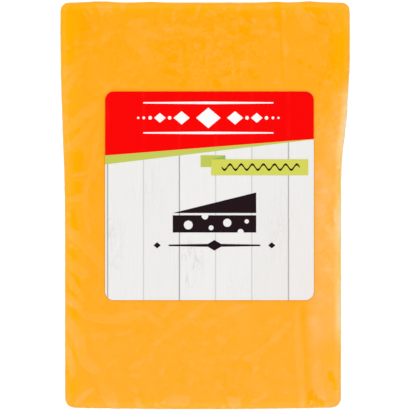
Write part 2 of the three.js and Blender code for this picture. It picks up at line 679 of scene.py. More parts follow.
def end_marks(face: Face, half: float) -> tuple[StrayMarks, ...]:
    """Gives the marks of an end face: along both its edges and across its middle.

    Args:
        face: The end.
        half: How far the marks along its edges reach on either side of its middle.

    Returns:
        The marks' rules.
    """
    return (
        StrayMarks(face, (-half, 20), (half, 27), 16, 90, 28, (5, 11), (0.9, 2.2)),
        StrayMarks(face, (-half, 2), (half, 7), 14, 90, 28, (4, 9), (0.9, 2.2)),
        StrayMarks(face, (-40, 12), (40, 20), 5, 0, 20, (9, 18), (1.8, 3.4)),
    )


@dataclass
class BlockForm:
    """The outline that the cheese and its film share, with its thickness from the frame."""

    head_left: float = -52.2
    head_right: float = 52.3
    foot_left: float = -50.5
    foot_right: float = 49.1
    head_y: float = 73.15
    foot_y: float = -73.55
    left_taper: Pair = (62, -8)
    right_steps: Rows = ((54, 31, 0.32), (36, 10, 0.68))
    foot_rise: float = 0.5
    foot_middle: float = -2
    foot_half: float = 45
    pleats: Rows = ((-37.8, 0.4, 5), (-19.8, 0.26, 4), (25.2, 0.3, 3.2), (37.5, 0.4, 4.4))
    pleat_reach: float = 14
    ends_beyond: float = 70
    edge_radius: float = 2.5
    edge_steps: int = 6
    head_corner: float = 3.1
    foot_corner: float = 3.3
    corner_steps: int = 8
    pillow_drop: float = 0.45
    pillow_width: float = 8.5
    pillow_from: float = 0.6
    pillow_to: float = 0.9
    stations: int = 24
    voxel: float = 0.7
    thickness: float = field(init=False)

    def __post_init__(self) -> None:
        """Takes the thickness from the frame."""
        low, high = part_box(PACK_NODE)
        self.thickness = (high.z - low.z) / MM

    def left(self, y: Points) -> Points:
        """Gives the left side's place at each distance along the block."""
        return self.head_left + (self.foot_left - self.head_left) * ease(y, *self.left_taper)

    def right(self, y: Points) -> Points:
        """Gives the right side's place at each distance along the block."""
        share = sum(step * ease(y, start, end) for start, end, step in self.right_steps)
        return self.head_right + (self.foot_right - self.head_right) * share

    def foot_line(self, x: Points) -> Points:
        """Gives how far the foot draws in beside its belly, at each place across."""
        return self.foot_rise * ((x - self.foot_middle) / self.foot_half) ** 2

    def head_line(self, x: Points) -> Points:
        """Gives how far the head's pleats stand out at each place across."""
        return sum(height * bell(x, middle, spread) for middle, height, spread in self.pleats)

    def high(self, points: Points, start: float, end: float) -> Weights:
        """Rates each point's height, between two shares of the thickness."""
        return ease(points[:, 2], self.thickness * start, self.thickness * end)

    def level(self, face: Face) -> float:
        """Looks up a face's mean place.

        Args:
            face: The face.

        Returns:
            Its place along its axis.
        """
        return {
            Face.FRONT: self.thickness,
            Face.BACK: 0,
            Face.RIGHT: (self.head_right + self.foot_right) / 2,
            Face.LEFT: (self.head_left + self.foot_left) / 2,
            Face.HEAD: self.head_y,
            Face.FOOT: self.foot_y,
        }[face]

    def beside(self, points: Points) -> tuple[Weights, Weights]:
        """Gives how far each point lies inside the nearer long side, and inside the nearer end."""
        x, y = points[:, 0], points[:, 1]
        return np.minimum(x - self.left(y), self.right(y) - x), np.minimum(self.head_y - y, y - self.foot_y)

    def inset(self, points: Points) -> Weights:
        """Gives how far inside the plan outline each point lies."""
        return np.minimum(*self.beside(points))

    def model(self, name: str) -> Workpiece:
        """Models the block: a cube cut into stations, drawn in to the outline and rounded.

        Args:
            name: The new piece's name.

        Returns:
            The block, with evenly spread points.
        """
        size = (self.head_right - self.head_left, self.head_y - self.foot_y, self.thickness)
        middle = ((self.head_left + self.head_right) / 2, (self.head_y + self.foot_y) / 2, self.thickness / 2)
        block = Workpiece.solid(name, size, middle)
        for end, radius in ((1, self.head_corner), (-1, self.foot_corner)):
            a, b = block.edge_ends()
            upright = np.abs(a[:, 2] - b[:, 2]) > self.thickness / 2
            at_end = np.minimum(a[:, 1] * end, b[:, 1] * end) > self.ends_beyond
            block.round_edges(radius, self.corner_steps, upright & at_end)
        first, last = self.foot_y + 1.5 * self.foot_corner, self.head_y - 1.5 * self.head_corner
        for y in np.linspace(first, last, self.stations):
            block.cut((0, y, 0), (0, 1, 0))
        self.draw_in(block)
        block.round_edges(self.edge_radius, self.edge_steps)
        block.finish_with("REMESH", mode="VOXEL", voxel_size=self.voxel * MM, adaptivity=0)
        block.finish_with("SMOOTH", factor=0.5, iterations=3)
        self.fit(block)
        return block

    def draw_in(self, block: Workpiece) -> None:
        """Moves the ends of each row of points to the two long sides' real places.

        Args:
            block: The block, still as a box cut into stations.
        """
        rows = np.round(block.points()[:, 1], 2)
        for y in np.unique(rows):
            points = block.points()
            here = np.abs(rows - y) < 0.005
            block.shift(here & (points[:, 0] > 0), (float(self.right(y)) - self.head_right, 0, 0))
            block.shift(here & (points[:, 0] < 0), (float(self.left(y)) - self.head_left, 0, 0))

    def fit(self, block: Workpiece) -> None:
        """Adds the foot's belly, the head's pleats and the pillow of both large faces.

        Args:
            block: The rounded block.
        """
        points = block.points()
        x, y, _ = points.T
        block.push(1, self.foot_line(x) * ease(y, self.foot_y + self.pleat_reach, self.foot_y), "Y")
        block.push(1, self.head_line(x) * ease(y, self.head_y - self.pleat_reach, self.head_y), "Y")
        fall = ease(self.inset(block.points()), self.pillow_width, 0)
        block.push(-self.pillow_drop, fall * self.high(points, self.pillow_from, self.pillow_to), "Z")
        block.push(self.pillow_drop, fall * self.high(points, 1 - self.pillow_from, 1 - self.pillow_to), "Z")


@dataclass(frozen=True)
class Hollow:
    """A place on the right side where the cheese draws back and the film spans it."""

    y: float
    half: float
    depth: float


@dataclass
class ContactMap:
    """Where the film stands off the cheese, and where it clings to it."""

    form: BlockForm
    seed: int = 27
    lifted_front: tuple[Stroke, ...] = strokes(
        # The head's left corner and the pleats beside it.
        (-46.5, 70.5, -45.3, 68.5, -44.2, 65.3, 1.1), (-44.7, 70.5, -43, 68.5, -41.7, 66.3, 0.9),
        (-42.3, 71.5, -41.2, 69.5, -40, 67.8, 1.2), (-37.8, 72.5, -37.6, 70, -37, 68.2, 1.9),
        (-35, 73, -34.6, 71, -33.5, 69, 1.6), (-29.7, 73, -29.6, 71, -29.5, 69.8, 1.3),
        (-24.5, 73, -23.5, 71.5, -22, 71, 1.2),
        # The pale lobes left of the middle, above the label.
        (-28.5, 64.7, -24.5, 65, -20.5, 66.5, 3.6), (-27, 64, -27.6, 60, -25.5, 57, 3.2),
        (-24, 64.5, -24.2, 59, -21.5, 54, 4.8), (-22.5, 57, -20.6, 53.5, -19.8, 51.8, 3.6),
        (-21, 62.3, -19, 61.6, -17, 60.8, 1.4), (-41, 64.5, -39.5, 64, -38.3, 63.2, 1.1),
        (-44.5, 61.5, -43.2, 62, -42, 62.3, 1), (-46.8, 66.2, -46.3, 66, -45.8, 65.6, 0.9),
        (-34.5, 62.2, -33.3, 62, -32.3, 61.8, 0.9), (-42.3, 55.6, -41.5, 55.9, -40.7, 56.2, 0.9),
        (-36.8, 58.8, -36.5, 58.4, -36.2, 58, 0.7), (-31, 49.3, -26, 50.5, -20, 53, 2),
        (-33.3, 53.3, -31, 53.5, -28.9, 53.5, 1.4), (-38.8, 46.5, -35, 40, -30, 45.5, 1.8),
        (-32.5, 42, -29, 43.4, -23.5, 42.3, 1.2), (-26.4, 46.5, -25.8, 46.6, -25.2, 46.5, 1.8),
        (-23.4, 44.5, -22.8, 44.6, -22.2, 44.5, 2.2), (-40, 39.2, -36.5, 41, -33, 42, 1.5),
        # The long bars of the top's middle.
        (-14.5, 59.6, -8, 60.3, -3, 61.2, 1.9), (-4, 54, 4, 54.6, 10, 55.3, 2),
        (0.5, 62, 2.5, 57, 0.5, 50, 2.4), (-2, 72, -2.5, 69, -3.5, 66.5, 1.6),
        (5.6, 72.6, 6.2, 70.8, 7, 69.8, 1), (13.8, 73, 12.5, 71, 11.3, 70, 1.3),
        (18, 70.8, 20.5, 71.5, 23.5, 70.5, 1.2), (19, 62, 21, 61.8, 22.5, 61.8, 1),
        (24.5, 61.5, 25.5, 61, 26.5, 61, 2), (27.8, 70, 28.2, 68, 28.6, 66, 1.8),
        (28.5, 61.5, 29.3, 57, 29, 53.5, 1.3),
        # The head's right corner.
        (33.8, 71, 35, 66, 39.3, 61.5, 4), (44, 70.8, 46, 67, 48.7, 63, 0.9),
        (49.8, 72, 48.6, 70.5, 47.7, 68.5, 1.1), (46.4, 62.8, 47, 62.7, 47.6, 62.6, 1.7),
        (36.5, 47, 37.5, 47, 39, 46.3, 1.7),
        # The left side, from its shoulder down to the foot.
        (-52, 46, -47.5, 49, -43.5, 53, 2.2), (-52, 38, -48, 46, -44.3, 48.5, 2.7),
        (-49.6, 56.3, -49, 56.6, -48.4, 56.7, 1.5), (-51.5, 25.5, -45, 30.5, -37.5, 38, 4),
        (-51.5, 19.5, -45.5, 22.5, -40.5, 30, 3.6), (-38, 28, -40.5, 15, -42.8, 4, 1.9),
        (-42.8, 4, -43.7, -2, -41.3, -11, 1.9), (-37, 17, -39.5, 12, -41, 9, 1.5),
        (-51.5, 9.6, -46, 10.8, -42, 11.5, 1.7), (-51.5, 1.6, -46, 2, -43, 3, 2.1),
        (-51, -1, -48, -1, -46.7, -1.2, 1), (-51, -3.2, -49.6, -3.4, -48.9, -3.8, 2.4),
        (-51.5, -8, -45, -11, -36.3, -22.5, 4), (-51, -13.8, -48, -14.8, -46.5, -15.6, 1),
        (-51, -17.5, -47.5, -21.5, -42.5, -26, 4), (-51, -23.5, -47.5, -28.5, -44, -34, 2.4),
        (-51.5, -31, -48, -34, -43.5, -38.8, 3),
        # The large arcs below the label.
        (-45, -38.5, -34, -43.4, -21, -38.2, 3.9), (-21.3, -38.2, -18, -41.5, -14.5, -44, 2.8),
        (-8.5, -36.3, -13.5, -35, -15.3, -40.5, 2.7), (-19, -50.5, -9, -44.5, 1.5, -34, 2.7),
        (-51.5, -41, -44.5, -45, -44, -56, 4.6), (-44.5, -55, -42, -58.5, -38, -59, 4),
        (-51, -50, -47.8, -54, -46.8, -62, 2.4), (-41, -47.3, -39, -46.8, -35.5, -46, 2.4),
        (-32, -46.5, -29, -46.5, -26, -45, 2.3), (-27.5, -48.6, -26, -48.9, -25, -48.7, 1.3),
        (-26.8, -58.5, -24.5, -57, -21.8, -55.5, 1.9), (-19.3, -53.5, -19.6, -55, -19.8, -56.3, 1.8),
        (-33.2, -55, -31.5, -59, -28.5, -62, 0.9), (-27.5, -61.5, -25.5, -61.5, -23.5, -61.5, 1.8),
        (-26, -66.3, -25.4, -66.5, -24.9, -66.4, 1.9),
        # The foot's left corner and its pleats.
        (-37.5, -64.5, -35, -67.5, -31.5, -74, 4), (-46.5, -71.5, -44, -68.5, -40.5, -66, 2),
        (-24.8, -69.7, -23.6, -71.3, -22.5, -73.5, 2.2), (-17.8, -70.6, -17.7, -72, -17.6, -74, 1.7),
        (-15.5, -71.2, -13, -68.3, -10, -68.3, 1.1), (-12.3, -70.5, -9.8, -70.5, -6, -70, 4.2),
        # The marks right of the middle.
        (5, -41, 2, -41.6, -1, -44.5, 2.6), (7, -39.5, 11, -36.5, 15.5, -36, 2.5),
        (4.8, -46.8, 4.8, -47.3, 4.9, -47.8, 1.7), (14, -55.3, 20, -54, 31, -42, 3),
        (18.8, -53, 19, -56, 18, -59.5, 2.8), (9.6, -54.3, 10.5, -54.5, 11.4, -54.3, 2),
        (22.2, -66.5, 22, -69.5, 17, -70.5, 1.5), (28, -67.5, 29.5, -67.3, 31, -67, 1),
        (8.5, -69.5, 10.5, -71, 12, -72.5, 4), (32.9, -36, 33.3, -52, 35, -73.5, 2.6),
        (35.5, -42.7, 38, -41.7, 40.5, -40.5, 3.2), (41, -56, 38, -62, 43, -70, 4),
        # The film's long folds over the right side.
        (47.3, 8, 46, -4, 48.2, -17, 0.4),
    )
    clinging_front: tuple[Stroke, ...] = strokes(
        (-48.5, 61, -49.5, 67, -46, 71, 4.4), (-48.2, 54, -49, 57, -48.6, 60, 2.4),
        (-37.2, 72.5, -37, 72, -37, 71, 1.2), (49.5, 61.3, 50, 58, 48, 54, 3.8),
        (44.8, 59.3, 46, 58.6, 48, 58.4, 2), (38, -67, 37.6, -70, 38.2, -72.5, 2),
        (40.5, -68.5, 40, -71, 40.5, -72.6, 1.6), (41.6, -70, 42, -71, 42.6, -72.4, 1),
        (44.6, -60, 45, -61.5, 46.2, -63, 1.8), (46.4, -63.4, 47, -65, 47.2, -66.3, 1),
        (-49, -63, -48, -64.5, -48.8, -66.6, 2), (-49.4, -49.8, -48.6, -51.5, -47, -54, 0.9),
        (-49.2, -59.6, -49.1, -60.3, -49, -61.2, 0.8), (-49.3, -28.8, -48, -31.5, -46.7, -33.8, 1.6),
        (-48, -23, -46.5, -26, -45, -29.5, 1.5), (-48.8, -36.8, -47, -38.5, -45.8, -40.6, 2),
        (-49.2, -15.4, -48.5, -17.5, -46.8, -18.5, 1.5), (-48, -1.5, -47.6, -5, -46.5, -9.3, 1.8),
        (-46, 8, -45.6, 6.5, -45.5, 4.7, 2.4), (-45.2, 19, -46, 16, -45.6, 12, 3.2),
        (-43, 29, -45.5, 27, -47.5, 24.5, 0.9), (-43, 27, -42.6, 26, -42.4, 25, 1.3),
        # Damp patches of the top's middle and of its right corner.
        (13, 69, 15.5, 68, 17, 66.5, 2.6), (13, 64, 14.5, 62.5, 15, 61.5, 2.2),
        (9, 62.5, 10, 62, 11, 61.8, 1.2), (4.2, 68.4, 5.2, 68.6, 6.2, 67.8, 1.6),
        (1.2, 71.2, 2.8, 71.5, 4.2, 71, 1.2), (2.5, 63, 3.2, 63, 4, 63, 0.9),
        (3.5, 44.6, 4.6, 44, 5.4, 43.2, 2.2), (7, 47.2, 9, 47.6, 12, 48.2, 1.2),
        (15.5, 48.3, 17, 47, 18.6, 45.8, 1.8), (-8.6, 43.2, -8, 44, -7.4, 45, 1.8),
        (-14.5, 47.8, -12, 48.6, -9.5, 47, 1.6), (-12.8, 52.2, -11, 52.8, -9.4, 53.2, 1.8),
        (-3, 58, -1.6, 58.4, -0.4, 57.6, 1.8), (-8.2, 58.4, -7.6, 56.6, -7, 55.6, 1.3),
        (-5.4, 71.2, -4.6, 71.4, -3.8, 70.6, 1.3), (-18, 70, -18.3, 67.5, -17.8, 65.5, 1.1),
        (36, 72, 38.5, 70, 42, 69.4, 2.6), (40.5, 66.2, 42.5, 65, 44.5, 65.2, 1.2),
        (45, 53.5, 46.5, 52, 48, 50.6, 1.6), (49.6, 49.6, 49.8, 48.6, 49.9, 47.8, 1.1),
        (41.4, 44.6, 41.6, 43.6, 41.7, 42.6, 0.9), (44.4, 46.4, 44.8, 46, 45.2, 45.6, 1.3),
        (33.4, 51.6, 34.4, 51.6, 35.2, 50.8, 1.2), (37.6, 49.8, 38.2, 49.6, 38.8, 49.4, 0.9),
    )
    stray_lifts: tuple[StrayMarks, ...] = (
        StrayMarks(Face.FRONT, (-47, 44), (-20, 69), 30, 50, 70, (1.5, 5), (0.5, 1.2)),
        StrayMarks(Face.FRONT, (-18, 44), (28, 70), 30, 40, 80, (1, 4), (0.5, 1.3)),
        StrayMarks(Face.FRONT, (31, 44), (48, 69), 14, 90, 60, (1.5, 4), (0.5, 1.2)),
        StrayMarks(Face.FRONT, (-40, -70), (30, -40), 34, 20, 80, (1, 4), (0.6, 1.5)),
        StrayMarks(Face.BACK, (-52, -68), (-46, 68), 22, 20, 40, (5, 13), (1.4, 4)),
        StrayMarks(Face.BACK, (44, -68), (50, 68), 22, 160, 40, (5, 13), (1.4, 4)),
        StrayMarks(Face.BACK, (-48, 68), (48, 73), 20, 90, 30, (3, 7), (0.9, 2)),
        StrayMarks(Face.BACK, (-46, -74), (46, -68), 20, 90, 30, (3, 8), (0.9, 3)),
        StrayMarks(Face.BACK, (-40, -62), (40, 62), 34, 20, 180, (3, 16), (1.2, 4)),
        *side_marks(Face.LEFT, 1),
        *side_marks(Face.RIGHT, -1),
        *end_marks(Face.HEAD, 44),
        *end_marks(Face.FOOT, 43),
    )
    folds: tuple[Stroke, ...] = strokes(
        (-46, 25, -39, 20.5, -32, 15.4, 0.8), (-46, 5, -39, 9.5, -32, 14.6, 0.8),
        (46, 25, 39, 20.5, 32, 15.4, 0.8), (46, 5, 39, 9.5, 32, 14.6, 0.8),
    )
    stray_clings: tuple[StrayMarks, ...] = (
        StrayMarks(Face.BACK, (-48, -70), (-42, 70), 12, 70, 40, (3, 8), (1, 3)),
        StrayMarks(Face.BACK, (42, -70), (47, 70), 12, 110, 40, (3, 8), (1, 3)),
    )
    hollows: tuple[Hollow, ...] = (Hollow(32, 9, 0.14), Hollow(-6, 8, 0.14), Hollow(-37, 8, 0.16))
    hollow_reach: Pair = (4, 0.5)
    hollow_heights: Pair = (0.7, 0.92)
    slack_reach: float = 2.8
    slack_between: float = 0.16
    slack_heights: Pair = (0.78, 0.9)
    slack_head: Pair = (52, 40)
    slack_foot: Pair = (-55, -45)
    rim_heights: Pair = (0.8, 0.93)
    wall_share: float = 0.3
    near_sides: Pair = (9.4, 3.2)
    near_ends: Pair = (6.2, 1.8)
    lifts: list[tuple[Face, Stroke]] = field(init=False)
    clings: list[tuple[Face, Stroke]] = field(init=False)

    def __post_init__(self) -> None:
        """Adds the marks that a rule draws to the ones of the front."""
        chance = np.random.default_rng(self.seed)
        self.lifts = [(Face.FRONT, stroke) for stroke in self.lifted_front]
        self.lifts += [(face, fold) for face in (Face.HEAD, Face.FOOT) for fold in self.folds]
        self.clings = [(Face.FRONT, stroke) for stroke in self.clinging_front]
        for marks, bands in ((self.lifts, self.stray_lifts), (self.clings, self.stray_clings)):
            for band in bands:
                marks += [(band.face, stroke) for stroke in band.draw(chance)]

    def depth(self, points: Points, marks: list[tuple[Face, Stroke]]) -> Weights:
        """Rates how far inside the nearest mark each point lies.

        Args:
            points: The points to rate.
            marks: The marks, each with its face.

        Returns:
            The depths in millimetres, below 0 outside every mark.
        """
        depth = np.full(len(points), -Stroke.REACH)
        for face, stroke in marks:
            stroke.deepen(depth, points, face, self.form.level(face))
        return depth

    def drawn_back(self, points: Points, hollow: Hollow) -> Weights:
        """Rates how far each point of the right side draws back at a hollow.

        Args:
            points: The points to rate.
            hollow: The hollow.

        Returns:
            The shares of the hollow's depth.
        """
        x, y, _ = points.T
        edge = ease(self.form.right(y) - x, *self.hollow_reach)
        return bell(y, hollow.y, hollow.half) * edge * self.form.high(points, *self.hollow_heights)

    def slack(self, points: Points) -> Weights:
        """Rates the painted sheen of the slack film on the right side's upper rim.

        Args:
            points: The points to rate.

        Returns:
            The share of the slack film's painted sheen at each point.
        """
        x, y, _ = points.T
        edge = np.clip(1 - (self.form.right(y) - x) / self.slack_reach, 0, 1)
        along = np.minimum(sum(bell(y, hollow.y, hollow.half) for hollow in self.hollows), 1)
        between = self.slack_between * ease(y, *self.slack_head) * ease(y, *self.slack_foot)
        strength = between + (1 - self.slack_between) * along
        return edge * self.form.high(points, *self.slack_heights) * strength

    def rim(self, points: Points, inner: float, outer: float) -> Weights:
        """Rates how near the plan outline each point lies, less so on the walls.

        Args:
            points: The points to rate.
            inner: How far inside the outline the result is 0.
            outer: How far inside it the result is 1.

        Returns:
            The shares.
        """
        strength = self.wall_share + (1 - self.wall_share) * self.form.high(points, *self.rim_heights)
        return ease(self.form.inset(points), inner, outer) * strength

    def near(self, points: Points) -> Weights:
        """Rates how near the outline each point lies, from further off beside the long sides."""
        aside, ends = self.form.beside(points)
        return np.maximum(ease(aside, *self.near_sides), ease(ends, *self.near_ends))

    def gap(self, points: Points) -> Weights:
        """Gives how far the film stands off the right side at each point, in millimetres."""
        return sum(self.drawn_back(points, hollow) * hollow.depth for hollow in self.hollows)


LAP = (31.5, -0.084, 3.3e-6)


def lap_place(r: Recipe, y: Socket) -> Socket:
    """Gives the place across the front of the film's lap, at each distance y along the block."""
    start, lean, bow = LAP
    return r.total(start, r.product(y, lean), r.product(y, y, y, bow))


@dataclass(frozen=True)
class Zone:
    """A soft oval zone of a large face, with the strength of what it changes."""

    centre: Pair
    reach: Pair
    strength: float

    def rate(self, r: Recipe) -> Socket:
        """Rates how strong the zone is at each place, full in its middle and 0 outside.

        Args:
            r: The recipe that it goes into.

        Returns:
            The strength.
        """
        off_x = r.maths("DIVIDE", r.maths("SUBTRACT", r.x, self.centre[0]), self.reach[0])
        off_y = r.maths("DIVIDE", r.maths("SUBTRACT", r.y, self.centre[1]), self.reach[1])
        off = r.total(r.product(off_x, off_x), r.product(off_y, off_y))
        return r.product(r.band(off, 1.2, 0.3), self.strength)


@dataclass(frozen=True)
class CheddarFinish:
    """Red cheddar under its film: amber, with painted film sheen where the film stands off it, deep where it
    clings.

    Paleness is the blue channel's level in sRGB, because blue changes most in this colour. Each row
    of shades has a paleness and the sRGB colour there.
    """

    name: str = "red_cheddar"
    roughness: float = 0.4
    specular: float = 0.0
    subsurface: float = 0.04
    subsurface_reach: Colour = (1.0, 0.4, 0.12)
    subsurface_depth: float = 2.0
    relief: float = 0.02
    paleness: float = 39
    # Paler towards the foot and the right: painted sheen of the film.
    paler_to_foot: float = -0.14
    paler_to_right: float = 0.05
    drift: float = 14
    # Painted sheen of the film in a band along the right side.
    right_band: float = 43
    wall_share: float = 0.35
    front: Pair = (20, 28)
    # Painted sheen of the film where it stands off the cheese, and how uneven that sheen is.
    painted_sheen: float = 12.5
    painted_sheen_uneven: float = 36
    # Painted shade: the colour deepens near the outline to offset the film's gloss there.
    rim_painted_shade: float = -8
    # Painted sheen of the film along the rim and at the very edge.
    rim_painted_sheen: float = 13
    edge_painted_sheen: float = 12
    # Painted sheen of the slack film over the right side's hollows.
    slack_painted_sheen: float = 72
    cling: float = 3
    cling_share: float = 0.92
    patches: float = 9
    mottle: float = 30
    least_mottle: float = 0.14
    least_crumbs: float = 5.0
    # A painted shadow line along the film's lap; the next three make places beside it paler or deeper.
    lap_painted_shadow: float = -15
    lap_beside: float = 3
    lap_knot: float = -26
    lap_below: float = -11
    zones: tuple[Zone, ...] = (
        Zone((1, 57), (23, 18), 1),
        Zone((46.5, 49), (6, 9), 1),
        Zone((43, 33), (5, 11), 0.8),
        Zone((43, -10), (6, 34), 0.5),
        Zone((6, -60), (20, 10), 0.4),
        Zone((-36, 62), (14, 9), 0.35),
    )
    deep: tuple[Zone, ...] = (
        Zone((-47.5, 63), (7, 12), -17),
        Zone((48.5, 56), (5, 12), -18),
        Zone((-48, -24), (3.5, 9), -12),
        Zone((-48, -64), (4, 7), -10),
        Zone((41.5, 20), (3.5, 4.5), -14),
        Zone((44.5, 34), (3, 4), -10),
        Zone((35.6, -39), (1.6, 6), -10),
        # The last two zones make it paler: painted sheen of the film over the right side's hollows.
        Zone((49.5, 30), (5.5, 15), 30),
        Zone((45, -2), (6, 12), 9),
    )
    crumbs: Zone = Zone((1, -61), (17, 9), 16)
    scale_top: float = 200
    shades: Rows = (
        (0, 254, 167.5, 0), (20, 254, 169, 20), (40, 254, 171.7, 40), (60, 254, 175.8, 60),
        (85, 254, 179.4, 85), (105, 254, 186, 105), (200, 248, 228, 206),
    )
    near_shades: Rows = (
        (0, 254, 174, 0), (20, 254, 175, 20), (40, 254, 176, 40), (60, 254, 177.6, 60),
        (85, 254, 183, 85), (105, 254, 192, 105), (200, 248, 228, 206),
    )
    rim_shades: Rows = (
        (0, 254, 178.5, 0), (20, 254, 179, 20), (50, 254, 180.2, 50), (70, 254, 184.6, 70),
        (100, 254, 198, 100), (140, 252, 211, 140), (200, 248, 229, 206),
    )
    light: float = 1.007

    def material(self) -> bpy.types.Material:
        """Builds the finish's material.

        Returns:
            The material.
        """
        r = Recipe(self.name)
        pale = r.total(self.base(r), self.mottling(r), self.seam(r))
        fine = r.total(r.spread(r.noise(1.3, 3), 0.8), r.spread(r.noise(0.5, 2), 0.35))
        ragged = r.total(fine, r.spread(r.noise(4, 2), 2.6))
        rim, edge = r.noted("rim"), r.noted("edge")
        # This mask places the painted sheen of the film where the film stands off; it also raises the bump.
        painted_sheen = r.band(r.total(r.noted("lifted"), ragged), -0.05, 0.08)
        uneven = r.spread(r.noise(3.5, 2), self.painted_sheen_uneven)
        with_painted_sheen = r.total(pale, r.total(self.painted_sheen, r.product(rim, self.rim_painted_sheen), uneven))
        torn = r.total(r.spread(r.noise(2.2, 5, 0.7, 0.3), 4), r.noted("clinging"))
        cling = r.product(r.band(torn, -0.5, 0.25), self.cling_share)
        # Near the outline, painted shade against the film's gloss, and painted sheen of the film at the very
        # edge.
        pale = r.total(pale, r.product(rim, self.rim_painted_shade), r.product(edge, self.edge_painted_sheen))
        pale = r.mixed(painted_sheen, r.mixed(cling, pale, self.cling), with_painted_sheen)
        # Painted sheen of the slack film over the right side's hollows.
        pale = r.total(pale, r.product(r.noted("slack"), self.slack_painted_sheen))
        share = r.maths("DIVIDE", pale, self.scale_top)
        ramps = (self.shades, self.near_shades, self.rim_shades)
        inner, near, outer = (r.ramp(share, self.stops(shades)) for shades in ramps)
        return r.paint(
            r.blend(edge, r.blend(r.noted("near"), inner, near), outer),
            self.roughness,
            self.specular,
            subsurface_weight=self.subsurface,
            subsurface_radius=self.subsurface_reach,
            subsurface_scale=self.subsurface_depth * MM,
            normal=r.bump(r.total(painted_sheen, r.noise(0.6, 2)), self.relief),
        )

    def base(self, r: Recipe) -> Socket:
        """Shades the cheese before its marks: slow changes, and a painted film sheen paler to the foot and
        the right side.

        Args:
            r: The recipe that it goes into.

        Returns:
            The paleness.
        """
        x, y = r.x, r.y
        front = r.band(r.z, *self.front)
        # The paler right band: painted sheen of the film, weaker on the walls.
        right = r.product(r.band(x, 34.5, 41), r.band(y, 48, 14), r.band(y, -56, -43, 0.38, 1))
        right = r.product(right, r.maths("MAXIMUM", front, self.wall_share))
        uneven = r.band(r.noise(9, 2), 0.3, 0.7, 0.75, 1.2)
        torn = r.band(r.noise(3, 4, 0.65), 0.35, 0.6, 0.5, 1.2)
        deep = r.total(*(zone.rate(r) for zone in self.deep))
        # The gradients towards the foot and the right are painted sheen of the film.
        return r.total(
            self.paleness,
            r.product(deep, torn, front),
            r.product(y, self.paler_to_foot),
            r.product(x, self.paler_to_right),
            r.product(right, uneven, self.right_band),
            r.spread(r.noise(16), self.drift),
        )

    def mottling(self, r: Recipe) -> Socket:
        """Adds patches everywhere, stronger ones in the rough zones, and the pale crumbs.

        Args:
            r: The recipe that it goes into.

        Returns:
            The change of paleness.
        """
        broad = r.spread(r.band(r.noise(6, 4, 0.65, 0.3), 0.4, 0.6), self.patches)
        clumps = r.spread(r.band(r.noise(3.2, 5, 0.7, 0.4), 0.4, 0.6), 1)
        grains = r.spread(r.band(r.noise(1.3, 3, 0.6), 0.34, 0.66), 0.55)
        share = self.least_mottle
        for zone in self.zones:
            share = r.maths("MAXIMUM", share, zone.rate(r))
        crumbs = r.maths("MAXIMUM", self.crumbs.rate(r), self.least_crumbs)
        crumbs = r.product(r.band(r.noise(1.1, 2), 0.6, 0.68), crumbs)
        return r.total(broad, r.product(share, r.total(clumps, grains), self.mottle), crumbs)

    def seam(self, r: Recipe) -> Socket:
        """Marks the film's lap above and below the label: a painted shadow line, with paler and deeper places
        beside it.

        Args:
            r: The recipe that it goes into.

        Returns:
            The change of paleness.
        """
        y = r.y
        off = r.maths("SUBTRACT", r.x, lap_place(r, y))
        # Painted shadow line along the lap.
        line = r.product(r.band(r.away(off), 0.6, 0.15), r.band(y, 42, 48), self.lap_painted_shadow)
        beside = r.product(r.band(off, 0.2, 0.5), r.band(off, 2.8, 1.6), r.band(y, 42, 47), self.lap_beside)
        knot = r.product(r.band(r.away(off, -0.5), 1.7, 0.7), r.band(y, 62, 69), self.lap_knot)
        below = r.product(r.band(off, 0, 0.3), r.band(off, 3, 0.8), r.band(y, -35, -42), self.lap_below)
        return r.total(line, beside, knot, below)

    def stops(self, shades: Rows) -> list[tuple[float, Colour]]:
        """Gives a ramp's positions, each with its colour less the light's share."""
        return [(level / self.scale_top, unlit(shade, self.light)) for level, *shade in shades]


@dataclass(frozen=True)
class FilmFinish:
    """Clear glossy shrink film, a little milky where nothing lies behind it."""

    name: str = "clear_shrink_film"
    roughness: float = 0.1
    milk: Colour = (1.0, 0.88, 0.68)
    most_milk: float = 0.1
    mirror: float = 0.01
    relief: float = 0.05

    def material(self) -> bpy.types.Material:
        """Builds the finish's material.

        Returns:
            The material.
        """
        r = Recipe(self.name)
        ripple = r.total(r.noise(9, 2), r.product(r.noise(2.4, 3), 0.25))
        return self.film(r, r.band(r.noted("gap"), 0.05, 0.6, 0, self.most_milk), ripple)

    def film(self, r: Recipe, milkiness: Value, relief: Value) -> bpy.types.Material:
        """Ends a recipe with gloss over a film that is partly clear and partly milky.

        Args:
            r: The recipe.
            milkiness: The share that is milky.
            relief: The height of the film's unevenness, from 0 to 1.

        Returns:
            The material.
        """
        normal = r.bump(relief, self.relief)
        clear = r.node("ShaderNodeBsdfTransparent").outputs[0]
        milky = r.node("ShaderNodeBsdfDiffuse", {"Color": self.milk}).outputs[0]
        body = r.node("ShaderNodeMixShader", {0: milkiness, 1: clear, 2: milky}).outputs[0]
        gloss = r.node("ShaderNodeBsdfAnisotropic", {"Roughness": self.roughness, "Normal": normal})
        slant = r.node("ShaderNodeLayerWeight", {"Blend": 0.5, "Normal": normal}).outputs["Facing"]
        mirror = r.total(self.mirror, r.product(r.maths("POWER", slant, 5.0), 1 - self.mirror))
        return r.surface(r.node("ShaderNodeMixShader", {0: mirror, 1: body, 2: gloss.outputs[0]}))


